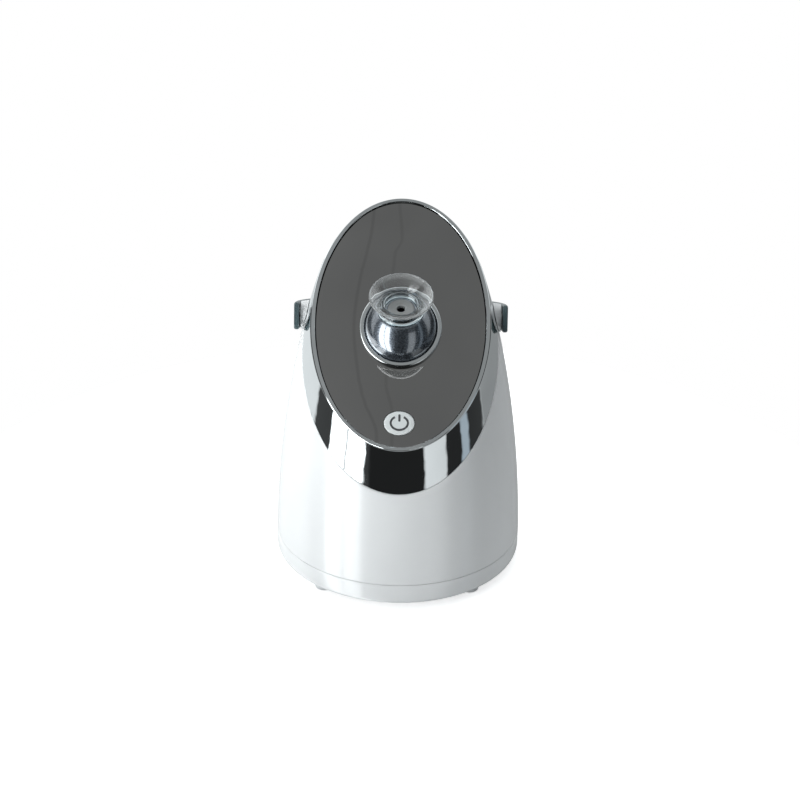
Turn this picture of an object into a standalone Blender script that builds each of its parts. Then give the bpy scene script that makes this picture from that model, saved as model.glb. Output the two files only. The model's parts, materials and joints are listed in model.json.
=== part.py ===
"""Facial steamer: white body, slanted mirror face, swivelling nozzle, rear water tank, bail handle.

Metres, +Z up. The origin is the centre of the footprint, on the surface the feet stand on.
The user stands at -Y, where the face points.
"""
import math

import bmesh
import bpy
from mathutils import Matrix, Vector

MM = 0.001
GAP = 0.3 * MM                      # clearance between touching pieces

# Body: a solid of revolution about Z, radius = R * (1 - (h / H) ** p) ** q, h above the base's underside
BODY_R = 80.3 * MM
BODY_H = 262.0 * MM
BODY_P = 1.82
BODY_Q = 0.554
WALL = 2.6 * MM
BODY_SEGMENTS = 64

# Slanted cuts through the body: height on the Z axis and slope above the horizontal
FACE_SLOPE = math.radians(49.0)
FACE_AXIS_Z = 190.85 * MM
SHELL_SLOPE = math.radians(50.8)
SHELL_AXIS_Z = 172.8 * MM

# Base
FOOT_H = 4.0 * MM
FOOT_R = 6.0 * MM
FOOT_PCR = 70.0 * MM                # radius of the circle of feet
SEAM_Z = 18.3 * MM
BASE_EDGE_R = 76.0 * MM             # flat underside of the base pan
PAN_FLOOR = 2.4 * MM

# Face: lip width at the sides and at the ends, and how deep the mirror sits
LIP_SIDE = 2.9 * MM
LIP_END = 2.0 * MM
RECESS = 1.8 * MM
PANEL_T = 2.2 * MM

# Nozzle, in the face frame (u up the face, n out of it)
NOZZLE_U = -3.65 * MM
BALL_R = 22.6 * MM
BALL_DEPTH = 4.2 * MM               # ball centre below the plane of the lip
COLLAR_R = 25.2 * MM
COLLAR_TOP = 1.4 * MM
COLLAR_BORE = 22.2 * MM
SEAT_R = 23.0 * MM
TILT_UP = math.radians(25.0)        # nozzle tilted up from the face normal at rest
BALL_BORE = 4.5 * MM
OUTLET_R = 2.6 * MM
CUP_RIM_R = 19.6 * MM
CUP_RIM_H = 29.1 * MM               # along the nozzle axis from the ball centre
CUP_FOOT_R = 14.3 * MM
SEAT_H = 17.2 * MM                  # flat on the ball that the cup stands on
GROOVE_H = 15.2 * MM                # floor of the groove that takes the cup's skirt
SPIGOT_H = 18.0 * MM

# Power button
BUTTON_U = -63.85 * MM
BUTTON_A = 9.3 * MM
BUTTON_B = 7.45 * MM
BUTTON_TRAVEL = 1.0 * MM

# Handle
HINGE_Y = 2.5 * MM
HINGE_Z = 165.0 * MM
DROOP = math.radians(19.0)
BAIL_HALF_W = 66.4 * MM
BAIL_REACH = 80.4 * MM
BAIL_T = 3.2 * MM
BAIL_H = 17.0 * MM
BAIL_NOSE = 11.5 * MM

# Water tank and its bay
TANK_X = 43.0 * MM
TANK_FRONT = 16.0 * MM
TANK_Z0 = 46.0 * MM
TANK_Z1 = 112.0 * MM
TANK_WALL = 2.2 * MM
BAY_ROOM = 13.0 * MM                # free height above the tank
DOCK_Z = 54.0 * MM
INLET_Z = 32.0 * MM
CAP_Y = 44.0 * MM
CAP_R = 12.0 * MM
GRIP_Z = 97.0 * MM
GRIP_OUT = 4.0 * MM

# Boiler
BOILER_Y = -24.0 * MM
BOILER_R = 25.0 * MM
BOILER_Z0 = 30.0 * MM
BOILER_Z1 = 82.0 * MM

COLOURS = {
    "white": ((0.86, 0.87, 0.88), 0.12, 0.0),
    "chrome": ((0.78, 0.80, 0.80), 0.06, 1.0),
    "mirror": ((0.10, 0.10, 0.105), 0.04, 0.6),
    "button": ((0.82, 0.85, 0.85), 0.35, 0.0),
    "ball": ((0.16, 0.18, 0.21), 0.25, 0.9),
    "insert": ((0.42, 0.42, 0.42), 0.5, 0.0),
    "clear": ((0.85, 0.88, 0.90), 0.05, 0.0),
    "tank": ((0.55, 0.66, 0.72), 0.08, 0.0),
    "grip": ((0.08, 0.11, 0.12), 0.32, 0.0),
    "rubber": ((0.63, 0.64, 0.65), 0.7, 0.0),
    "silicone": ((0.75, 0.73, 0.70), 0.6, 0.0),
    "black": ((0.03, 0.03, 0.03), 0.5, 0.0),
    "steel": ((0.60, 0.60, 0.58), 0.3, 1.0),
    "alloy": ((0.55, 0.55, 0.55), 0.4, 1.0),
    "board": ((0.02, 0.16, 0.06), 0.5, 0.0),
    "brass": ((0.70, 0.52, 0.22), 0.3, 1.0),
}


def material(slot):
    """The Principled material of one slot, made once."""
    made = bpy.data.materials.get(slot)
    if made:
        return made
    colour, roughness, metallic = COLOURS[slot]
    made = bpy.data.materials.new(slot)
    made.use_nodes = True
    shader = made.node_tree.nodes["Principled BSDF"]
    shader.inputs["Base Color"].default_value = (*colour, 1.0)
    shader.inputs["Roughness"].default_value = roughness
    shader.inputs["Metallic"].default_value = metallic
    if slot in ("clear", "tank"):
        shader.inputs["Transmission Weight"].default_value = 1.0
    return made


def add(name, bm, slot, frame=None):
    """Closes off a bmesh as one named object, in the frame of an empty or in the world."""
    bmesh.ops.remove_doubles(bm, verts=bm.verts, dist=1e-7)
    bmesh.ops.recalc_face_normals(bm, faces=bm.faces)
    mesh = bpy.data.meshes.new(name)
    bm.to_mesh(mesh)
    bm.free()
    mesh.shade_smooth()
    mesh.set_sharp_from_angle(angle=math.radians(35))
    mesh.materials.append(material(slot))
    obj = bpy.data.objects.new(name, mesh)
    bpy.context.collection.objects.link(obj)
    if frame:
        obj.parent = frame
    return obj


def empty(name, matrix, parent=None):
    """A frame that pieces are parented to."""
    obj = bpy.data.objects.new(name, None)
    obj.empty_display_size = 0.01
    bpy.context.collection.objects.link(obj)
    obj.parent = parent
    obj.matrix_local = matrix
    return obj


def grid(bm, rows, closed_rows=False):
    """Skins a list of equal rings of points; the first and last ring are capped unless they join."""
    rings = [[bm.verts.new(p) for p in row] for row in rows]
    count = len(rings[0])
    pairs = list(zip(rings, rings[1:]))
    if closed_rows:
        pairs.append((rings[-1], rings[0]))
    for low, high in pairs:
        for i in range(count):
            j = (i + 1) % count
            bm.faces.new((low[i], low[j], high[j], high[i]))
    if not closed_rows:
        bm.faces.new(rings[0])
        bm.faces.new(list(reversed(rings[-1])))
    return bm


def turned(profile, segments, hollow=False):
    """A solid turned about local Z. hollow: the profile is a closed loop that stays off the axis."""
    bm = bmesh.new()
    rows = []
    for radius, z in profile:
        row = []
        for i in range(segments):
            angle = 2 * math.pi * i / segments
            row.append((radius * math.cos(angle), radius * math.sin(angle), z))
        rows.append(row)
    return grid(bm, rows, closed_rows=hollow)


def prism(outline, z0, z1):
    """A straight extrusion of a plan outline."""
    return grid(bmesh.new(), [[(x, y, z0) for x, y in outline], [(x, y, z1) for x, y in outline]])


def box(size, centre):
    bm = bmesh.new()
    bmesh.ops.create_cube(bm, size=1.0)
    bmesh.ops.scale(bm, vec=size, verts=bm.verts)
    bmesh.ops.translate(bm, vec=centre, verts=bm.verts)
    return bm


def ellipse(a, b, segments, cx=0.0, cy=0.0):
    steps = (2 * math.pi * i / segments for i in range(segments))
    return [(cx + a * math.cos(t), cy + b * math.sin(t)) for t in steps]


def arc(cx, cy, radius, start, stop, steps):
    """Points of a circular arc in a profile, angles in degrees."""
    out = []
    for i in range(steps + 1):
        t = math.radians(start + (stop - start) * i / steps)
        out.append((cx + radius * math.cos(t), cy + radius * math.sin(t)))
    return out


def cut(obj, cutter):
    """Subtracts a cutter object, which stays in the file as a hidden guide."""
    cutter.hide_render = True
    cutter.display_type = "WIRE"
    mod = obj.modifiers.new("cut_" + cutter.name, "BOOLEAN")
    mod.operation = "DIFFERENCE"
    mod.solver = "EXACT"
    mod.object = cutter


def pipe(points, radius, sides, slot, name, bore=0.0):
    """A tube along a polyline, its rings square to the path. With a bore it is open at both ends."""
    path = [Vector(p) for p in points]
    side = Vector((1.0, 0.0, 0.0))
    outer = []
    inner = []
    for i, point in enumerate(path):
        along = (path[min(i + 1, len(path) - 1)] - path[max(i - 1, 0)]).normalized()
        across = (side - along * side.dot(along)).normalized()
        up = along.cross(across)
        turn = [2 * math.pi * k / sides for k in range(sides)]
        outer.append([point + (across * math.cos(t) + up * math.sin(t)) * radius for t in turn])
        inner.append([point + (across * math.cos(t) + up * math.sin(t)) * bore for t in turn])
    if bore:
        return add(name, grid(bmesh.new(), outer + list(reversed(inner)), closed_rows=True), slot)
    return add(name, grid(bmesh.new(), outer), slot)


def body_radius(z):
    return BODY_R * (1 - (max(z - FOOT_H, 0.0) / BODY_H) ** BODY_P) ** BODY_Q


def cut_height(angle, slope, axis_z, inset=0.0):
    """Where the body's surface at one azimuth meets a slanted plane."""
    z = axis_z
    for _ in range(60):
        radius = body_radius(z) - inset
        z = 0.5 * z + 0.5 * (axis_z + math.tan(slope) * radius * math.sin(angle))
        z = min(max(z, 0.0), 0.97 * BODY_H)
    return z


def body_point(angle, z, inset=0.0):
    radius = body_radius(z) - inset
    return Vector((radius * math.cos(angle), radius * math.sin(angle), z))


def azimuths():
    return [2 * math.pi * i / BODY_SEGMENTS for i in range(BODY_SEGMENTS)]


# The face frame: origin at the middle of the lip, X across, Y up the slope, Z out of the face
def face_frame():
    angles = azimuths()
    rim = [body_point(t, cut_height(t, FACE_SLOPE, FACE_AXIS_Z)) for t in angles]
    ys = [p.y for p in rim]
    middle_y = (min(ys) + max(ys)) / 2
    origin = Vector((0.0, middle_y, FACE_AXIS_Z + math.tan(FACE_SLOPE) * middle_y))
    return Matrix.Translation(origin) @ Matrix.Rotation(FACE_SLOPE, 4, "X"), rim


def scene_clear():
    for obj in list(bpy.data.objects):
        bpy.data.objects.remove(obj, do_unlink=True)


# ---------------------------------------------------------------- casing

def outer_shell():
    """White outer wall from the seam to the slanted edge, open above, below and at the tank bay."""
    rows = 5
    outer = []
    inner = []
    top = [cut_height(t, SHELL_SLOPE, SHELL_AXIS_Z) for t in azimuths()]
    for k in range(rows):
        share = k / (rows - 1)
        level = [SEAM_Z + GAP + (h - SEAM_Z - GAP) * share for h in top]
        outer.append([body_point(t, z) for t, z in zip(azimuths(), level)])
        inner.append([body_point(t, z, WALL) for t, z in zip(azimuths(), level)])
    shell = add("outer_shell", grid(bmesh.new(), outer + list(reversed(inner)), closed_rows=True), "white")
    window = add("tank_window", tank_form(0.5 * MM, TANK_Z0 - 0.5 * MM, TANK_Z1 + 0.5 * MM, 8 * MM), "white")
    cut(shell, window)
    inlet = add("inlet_window", box((21 * MM, 20 * MM, 13 * MM), (0, 78 * MM, INLET_Z)), "black")
    cut(shell, inlet)
    for side in (-1, 1):
        hole = add(f"pivot_hole_{side}", turned([(3.4 * MM, -10 * MM), (3.4 * MM, 10 * MM)], 16), "white")
        hole.matrix_world = Matrix.Translation((side * 58 * MM, HINGE_Y, HINGE_Z)) @ Matrix.Rotation(math.pi / 2, 4, "Y")
        cut(shell, hole)
    return shell


def lip_edge(rim, frame, grow=0.0, depth=0.0):
    """The rim pulled in along the face, by more at the sides than at the ends."""
    local = [frame.inverted() @ p for p in rim]
    half_w = max(p.x for p in local)
    half_l = max(p.y for p in local)
    side = 1 - (LIP_SIDE + grow) / half_w
    end = 1 - (LIP_END + grow) / half_l
    return [Vector((p.x * side, p.y * end, -depth)) for p in local]


def head_shell(rim, frame):
    """Chrome band between the white edge and the face, with the flat lip round the mirror."""
    rows = 4
    low = [cut_height(t, SHELL_SLOPE, SHELL_AXIS_Z) + GAP for t in azimuths()]
    high = [cut_height(t, FACE_SLOPE, FACE_AXIS_Z) for t in azimuths()]
    rings = []
    for k in range(rows):
        share = k / (rows - 1)
        rings.append([body_point(t, a + (b - a) * share) for t, a, b in zip(azimuths(), low, high)])
    rings.append([frame @ p for p in lip_edge(rim, frame)])
    rings.append([frame @ p for p in lip_edge(rim, frame, 0.0, RECESS)])
    rings.append([body_point(t, a, WALL) for t, a in zip(azimuths(), low)])
    return add("chrome_head_shell", grid(bmesh.new(), rings, closed_rows=True), "chrome")


def nozzle_cutter(name, radius, frame):
    plug = add(name, turned([(radius, -30 * MM), (radius, 20 * MM)], 40), "black", frame)
    plug.location = (0, NOZZLE_U, 0)
    return plug


def oval_cutter(name, grow, frame):
    outline = ellipse(BUTTON_A + grow, BUTTON_B + grow, 32)
    plug = add(name, prism(outline, -30 * MM, 20 * MM), "black", frame)
    plug.location = (0, BUTTON_U, 0)
    return plug


def front_panel(rim, frame_matrix, frame):
    """Smoked mirror plate with holes for the nozzle and the button."""
    top = lip_edge(rim, frame_matrix, GAP, RECESS)
    low = lip_edge(rim, frame_matrix, 4.4 * MM, RECESS + PANEL_T)
    bm = grid(bmesh.new(), [low, top])
    panel = add("front_panel", bm, "mirror", frame)
    cut(panel, nozzle_cutter("nozzle_hole", COLLAR_R - 1.2 * MM, frame))
    cut(panel, oval_cutter("button_hole", GAP, frame))
    return panel


def panel_carrier(rim, frame_matrix, frame):
    """Black plate behind the mirror that carries it, the nozzle socket and the switch board."""
    back = RECESS + PANEL_T + GAP
    top = lip_edge(rim, frame_matrix, 5.5 * MM, back)
    low = lip_edge(rim, frame_matrix, 8.5 * MM, back + 2.4 * MM)
    carrier = add("panel_carrier", grid(bmesh.new(), [low, top]), "black", frame)
    cut(carrier, nozzle_cutter("socket_hole", 28.6 * MM, frame))
    cut(carrier, oval_cutter("stem_hole", 1.6 * MM, frame))
    return carrier


def base_pan():
    """White pan that closes the body from below, with a rounded lower edge."""
    floor_z = FOOT_H
    rim_r = body_radius(SEAM_Z)
    round_r = rim_r - BASE_EDGE_R
    profile = [(0.3 * MM, floor_z), (BASE_EDGE_R - 4 * MM, floor_z), (BASE_EDGE_R, floor_z)]
    profile += arc(BASE_EDGE_R, floor_z + round_r, round_r, -60, 0, 3)
    profile += [(rim_r, SEAM_Z), (rim_r - WALL, SEAM_Z)]
    profile += [(rim_r - WALL, floor_z + PAN_FLOOR), (0.3 * MM, floor_z + PAN_FLOOR)]
    pan = add("base_pan", turned(profile, BODY_SEGMENTS), "white")
    for k, (x, y) in enumerate(foot_places()):
        pocket = add(f"foot_pocket_{k}", turned([(FOOT_R + GAP, 0), (FOOT_R + GAP, floor_z + 1.0 * MM)], 16), "white")
        pocket.location = (x, y, 0)
        cut(pan, pocket)
        hole = add(f"screw_hole_{k}", turned([(2.1 * MM, 0), (2.1 * MM, 12 * MM)], 10), "white")
        hole.location = (x, y, 0)
        cut(pan, hole)
    return pan


def foot_places():
    steps = (math.radians(a) for a in (48.5, 131.5, 228.5, 311.5))
    return [(FOOT_PCR * math.cos(t), FOOT_PCR * math.sin(t)) for t in steps]


def feet_and_screws():
    """Rubber feet in their pockets, each with the base screw that stands above it."""
    top = FOOT_H + 0.7 * MM
    names = ("rear_right", "rear_left", "front_left", "front_right")
    for name, (x, y) in zip(names, foot_places()):
        profile = [(FOOT_R - 0.8 * MM, 0), (FOOT_R, 0.8 * MM), (FOOT_R, top)]
        foot = add("foot_" + name, turned(profile, 16), "rubber")
        foot.location = (x, y, 0)
        head = FOOT_H + PAN_FLOOR + GAP
        shaft = top + GAP
        profile = [(1.6 * MM, shaft), (1.6 * MM, head), (3.2 * MM, head), (3.2 * MM, head + 1.4 * MM)]
        profile.append((2.2 * MM, head + 2.2 * MM))
        screw = add("base_screw_" + name, turned(profile, 10), "steel")
        screw.location = (x, y, 0)


# ---------------------------------------------------------------- nozzle

def nozzle_collar(frame):
    """Chrome ring that frames the ball on the face."""
    shoulder = -RECESS + GAP
    profile = [
        (COLLAR_R, shoulder), (COLLAR_R, COLLAR_TOP - 0.45 * MM), (COLLAR_R - 0.45 * MM, COLLAR_TOP),
        (COLLAR_BORE + 0.3 * MM, COLLAR_TOP), (COLLAR_BORE, COLLAR_TOP - 0.3 * MM),
        (SEAT_R - 0.1 * MM, -1.6 * MM), (SEAT_R, -5.2 * MM), (COLLAR_R - 1.5 * MM, -5.2 * MM),
        (COLLAR_R - 1.5 * MM, shoulder)]
    collar = add("nozzle_collar", turned(profile, 48, hollow=True), "chrome", frame)
    collar.location = (0, NOZZLE_U, 0)


def ball_unit(frame):
    """Socket, seal and swivel ring, all turned about the face normal through the ball centre."""
    outer = arc(0, 0, SEAT_R + 4.2 * MM, -14, -64, 4)
    inner = arc(0, 0, SEAT_R + 2.0 * MM, -14, -70, 4)
    socket = outer + [(9.0 * MM, -26.0 * MM), (9.0 * MM, -31.0 * MM), (7.0 * MM, -31.0 * MM)]
    socket += [(7.0 * MM, -24.2 * MM)] + list(reversed(inner))
    add("ball_socket", turned(socket, 32, hollow=True), "black", frame)

    ring = arc(0, 0, SEAT_R + 1.6 * MM, -4, -34, 2) + list(reversed(arc(0, 0, SEAT_R, -4, -34, 2)))
    add("swivel_ring", turned(ring, 32, hollow=True), "steel", frame)

    seal = arc(SEAT_R * math.cos(math.radians(50)) + 0.3 * MM, -SEAT_R * math.sin(math.radians(50)) - 0.3 * MM,
               0.75 * MM, 0, 288, 4)
    add("ball_seal", turned(seal, 20, hollow=True), "silicone", frame)


def nozzle(tilt):
    """Ball, outlet insert and clear cup, turned about the nozzle axis."""
    neck = [(14.4 * MM, SEAT_H), (11.7 * MM, SEAT_H), (11.7 * MM, GROOVE_H), (9.6 * MM, GROOVE_H),
            (9.6 * MM, SPIGOT_H), (8.5 * MM, SPIGOT_H), (8.5 * MM, 16.2 * MM), (BALL_BORE, 16.2 * MM)]
    rear = -58
    limb = arc(0, 0, BALL_R, rear, 49, 10)
    profile = [(BALL_BORE, BALL_R * math.sin(math.radians(rear)))] + limb + neck
    add("nozzle_ball", turned(profile, 40, hollow=True), "ball", tilt)

    disc = [(8.0 * MM, 16.5 * MM), (8.0 * MM, 18.4 * MM), (7.7 * MM, 18.7 * MM), (OUTLET_R + 0.3 * MM, 18.7 * MM),
            (OUTLET_R, 18.4 * MM), (OUTLET_R, 16.5 * MM)]
    add("outlet_insert", turned(disc, 24, hollow=True), "insert", tilt)

    foot = SEAT_H + GAP
    flare = [(CUP_FOOT_R, foot), (CUP_FOOT_R, foot + 1.1 * MM), (12.4 * MM, 20.0 * MM), (11.6 * MM, 21.5 * MM),
             (12.2 * MM, 24.0 * MM), (15.4 * MM, 26.6 * MM), (18.6 * MM, 28.4 * MM), (CUP_RIM_R, CUP_RIM_H),
             (CUP_RIM_R - 0.5 * MM, CUP_RIM_H + 0.6 * MM), (CUP_RIM_R - 1.3 * MM, CUP_RIM_H + 0.3 * MM),
             (14.8 * MM, 27.8 * MM), (11.2 * MM, 25.2 * MM), (9.9 * MM, 22.9 * MM), (9.9 * MM, GROOVE_H + GAP),
             (11.4 * MM, GROOVE_H + GAP), (11.4 * MM, foot)]
    add("diffuser_cup", turned(flare, 36, hollow=True), "clear", tilt)


def power_button(frame):
    """Oval cap on a stem, with the switch plunger under it, the switch and its board."""
    button = empty("button_frame", Matrix.Translation((0, BUTTON_U, 0)), frame)
    cap_top = -RECESS + 0.5 * MM
    cap = [ellipse(BUTTON_A - d, BUTTON_B - d, 32) for d in (0.0, 0.0, 0.35 * MM)]
    heights = (-RECESS - 1.4 * MM, cap_top - 0.35 * MM, cap_top)
    rows = [[(x, y, z) for x, y in ring] for ring, z in zip(cap, heights)]
    add("power_button", grid(bmesh.new(), rows), "button", button)
    stem_top = heights[0] - GAP
    profile = [(2.4 * MM, stem_top - 5.0 * MM), (2.4 * MM, stem_top)]
    add("button_stem", turned(profile, 16), "black", button)
    switch_top = stem_top - 5.0 * MM - BUTTON_TRAVEL - 0.4 * MM
    add("tact_switch", box((6 * MM, 6 * MM, 3.2 * MM), (0, 0, switch_top - 1.6 * MM)), "black", button)
    board = box((26 * MM, 20 * MM, 1.6 * MM), (0, 2 * MM, switch_top - 3.2 * MM - GAP - 0.8 * MM))
    add("switch_board", board, "board", button)


# ---------------------------------------------------------------- handle

def handle_and_pivots():
    """Half-oval bail that lies back behind the body, on two pivots at its sides."""
    pivot = empty("handle_pivot", Matrix.Translation((0, HINGE_Y, HINGE_Z)) @ Matrix.Rotation(-DROOP, 4, "X"))
    steps = 32
    centre = BAIL_T / 2
    mids = [(BAIL_HALF_W - centre, -BAIL_NOSE), (BAIL_HALF_W - centre, -0.5 * BAIL_NOSE)]
    for i in range(steps + 1):
        t = math.pi * i / steps
        mids.append(((BAIL_HALF_W - centre) * math.cos(t), (BAIL_REACH - centre) * math.sin(t)))
    mids += [(centre - BAIL_HALF_W, -0.5 * BAIL_NOSE), (centre - BAIL_HALF_W, -BAIL_NOSE)]
    rows = []
    last = len(mids) - 1
    for i, (x, y) in enumerate(mids):
        along = Vector(mids[min(i + 1, last)]) - Vector(mids[max(i - 1, 0)])
        out = Vector((along.y, -along.x)).normalized()
        half = BAIL_H / 2 - (1.2 * MM if i in (0, last) else 0.0)
        rows.append([(x + out.x * BAIL_T * a, y + out.y * BAIL_T * a, half * b)
                     for a, b in ((0.5, -0.82), (0.5, 0.82), (0.2, 1), (-0.2, 1), (-0.5, 0.82), (-0.5, -0.82),
                                  (-0.2, -1), (0.2, -1))])
    bail = add("handle", grid(bmesh.new(), rows), "grip", pivot)
    heights = [HINGE_Z + d * MM for d in (-14, -7, 0, 7, 14)]
    form = add("body_form", turned([(body_radius(z) + GAP, z) for z in heights], BODY_SEGMENTS), "white")
    for side, name in ((1, "right"), (-1, "left")):
        axle = Matrix.Translation((0, HINGE_Y, HINGE_Z)) @ Matrix.Rotation(side * math.pi / 2, 4, "Y")
        hole = add("handle_bore_" + name, turned([(4.3 * MM, 50 * MM), (4.3 * MM, 80 * MM)], 16), "grip")
        hole.matrix_world = axle
        cut(bail, hole)
        wall_x = body_radius(HINGE_Z)
        flange = wall_x - WALL - 3.6 * MM
        inner_face = BAIL_HALF_W - BAIL_T
        profile = [(5.0 * MM, flange), (5.0 * MM, flange + 1.7 * MM), (3.0 * MM, flange + 1.7 * MM),
                   (3.0 * MM, BAIL_HALF_W - 1.4 * MM), (1.5 * MM, BAIL_HALF_W - 1.2 * MM)]
        pin = add("pivot_pin_" + name, turned(profile, 14), "steel")
        pin.matrix_world = axle
        boss = [(3.4 * MM, wall_x - 5 * MM), (10.0 * MM, wall_x - 5 * MM), (8.8 * MM, inner_face - 2 * GAP),
                (3.4 * MM, inner_face - 2 * GAP)]
        washer = add("pivot_washer_" + name, turned(boss, 20, hollow=True), "white")
        washer.matrix_world = axle
        cut(washer, form)
        cap = [(4.0 * MM, BAIL_HALF_W - 1.0 * MM), (4.0 * MM, BAIL_HALF_W - 0.1 * MM),
               (3.4 * MM, BAIL_HALF_W + 0.2 * MM)]
        cover = add("pivot_cap_" + name, turned(cap, 16), "grip")
        cover.matrix_world = axle


# ---------------------------------------------------------------- water tank

def tank_form(grow, z0, z1, back_grow):
    """Plan of the tank at several heights: flat front and sides, back following the body."""
    bm = bmesh.new()
    levels = 6
    rows = []
    half_w = TANK_X + grow
    front = TANK_FRONT - grow
    for k in range(levels):
        z = z0 + (z1 - z0) * k / (levels - 1)
        radius = body_radius(z) + back_grow
        edge = math.asin(half_w / radius)
        row = [(-half_w, front, z), (0, front, z), (half_w, front, z)]
        for i in range(13):
            t = edge * (1 - 2 * i / 12)
            row.append((radius * math.sin(t), radius * math.cos(t), z))
        rows.append(row)
    return grid(bm, rows)


def water_tank():
    """Clear tank with a recessed filling neck in its top and an outlet in its front wall."""
    tank = add("water_tank", tank_form(0.0, TANK_Z0, TANK_Z1, 0.0), "tank")
    top = TANK_Z1 - 4.6 * MM - TANK_WALL
    cut(tank, add("tank_room", tank_form(-TANK_WALL, TANK_Z0 + TANK_WALL, top, -TANK_WALL), "tank"))
    recess = add("cap_recess", turned([(CAP_R + GAP, -4.6 * MM), (CAP_R + GAP, 2 * MM)], 24), "tank")
    recess.location = (0, CAP_Y, TANK_Z1)
    cut(tank, recess)
    neck = add("fill_neck", turned([(9.4 * MM, -12 * MM), (9.4 * MM, 2 * MM)], 24), "tank")
    neck.location = (0, CAP_Y, TANK_Z1)
    cut(tank, neck)
    outlet = add("tank_outlet", turned([(4.4 * MM, -6 * MM), (4.4 * MM, 6 * MM)], 16), "tank")
    outlet.matrix_world = Matrix.Translation((0, TANK_FRONT, DOCK_Z)) @ Matrix.Rotation(math.pi / 2, 4, "X")
    cut(tank, outlet)

    rows = []
    for z, out in ((GRIP_Z, 0.6), (GRIP_Z + 3 * MM, 1.0), (GRIP_Z + 5 * MM, 1.0), (GRIP_Z + 6 * MM, 0.7)):
        near = body_radius(z) + GAP
        far = body_radius(z) + GRIP_OUT * out
        turns = [math.radians(14 - 28 * i / 6) for i in range(7)]
        row = [(far * math.sin(t), far * math.cos(t), z) for t in turns]
        rows.append(row + [(near * math.sin(t), near * math.cos(t), z) for t in reversed(turns)])
    add("tank_grip", grid(bmesh.new(), rows), "tank")

    cap = [(8.9 * MM, -8.0 * MM), (9.1 * MM, -4.3 * MM), (CAP_R, -4.3 * MM), (CAP_R, -1.0 * MM),
           (CAP_R - 0.8 * MM, -0.4 * MM)]
    plug = add("tank_cap", turned(cap, 24), "silicone")
    plug.location = (0, CAP_Y, TANK_Z1)

    # Valve: a stem through the outlet with a head inside the tank, its axis along Y
    stem = [(2.0 * MM, -1.6 * MM), (2.0 * MM, 3.2 * MM), (5.8 * MM, 3.2 * MM), (5.8 * MM, 5.0 * MM),
            (2.2 * MM, 6.4 * MM)]
    valve = add("tank_valve", turned(stem, 16), "silicone")
    valve.matrix_world = Matrix.Translation((0, TANK_FRONT, DOCK_Z)) @ Matrix.Rotation(-math.pi / 2, 4, "X")


def tank_bay():
    """Liner that keeps the tank's space apart from the works, with the dock in its front wall."""
    top = TANK_Z1 + BAY_ROOM
    bay = add("tank_bay", tank_form(2.4 * MM, TANK_Z0 - 2.4 * MM, top + 1.8 * MM, -WALL - 0.6 * MM), "black")
    cut(bay, add("bay_room", tank_form(0.6 * MM, TANK_Z0 - 0.6 * MM, top, 6 * MM), "black"))
    port = add("dock_port", turned([(7.4 * MM, -6 * MM), (7.4 * MM, 6 * MM)], 16), "black")
    port.matrix_world = Matrix.Translation((0, TANK_FRONT, DOCK_Z)) @ Matrix.Rotation(math.pi / 2, 4, "X")
    cut(bay, port)

    dock = [(2.4 * MM, 2.2 * MM), (7.0 * MM, 2.2 * MM), (7.0 * MM, 3.4 * MM), (9.0 * MM, 3.4 * MM),
            (9.0 * MM, 5.2 * MM), (4.0 * MM, 5.2 * MM), (4.0 * MM, 10.0 * MM), (2.4 * MM, 10.0 * MM)]
    seat = add("tank_dock", turned(dock, 16, hollow=True), "black")
    seat.matrix_world = Matrix.Translation((0, TANK_FRONT, DOCK_Z)) @ Matrix.Rotation(math.pi / 2, 4, "X")
    seal = add("dock_seal", turned(arc(5.6 * MM, 1.2 * MM, 0.65 * MM, 0, 288, 4), 16, hollow=True), "silicone")
    seal.matrix_world = seat.matrix_world.copy()


# ---------------------------------------------------------------- boiler and steam path

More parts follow.
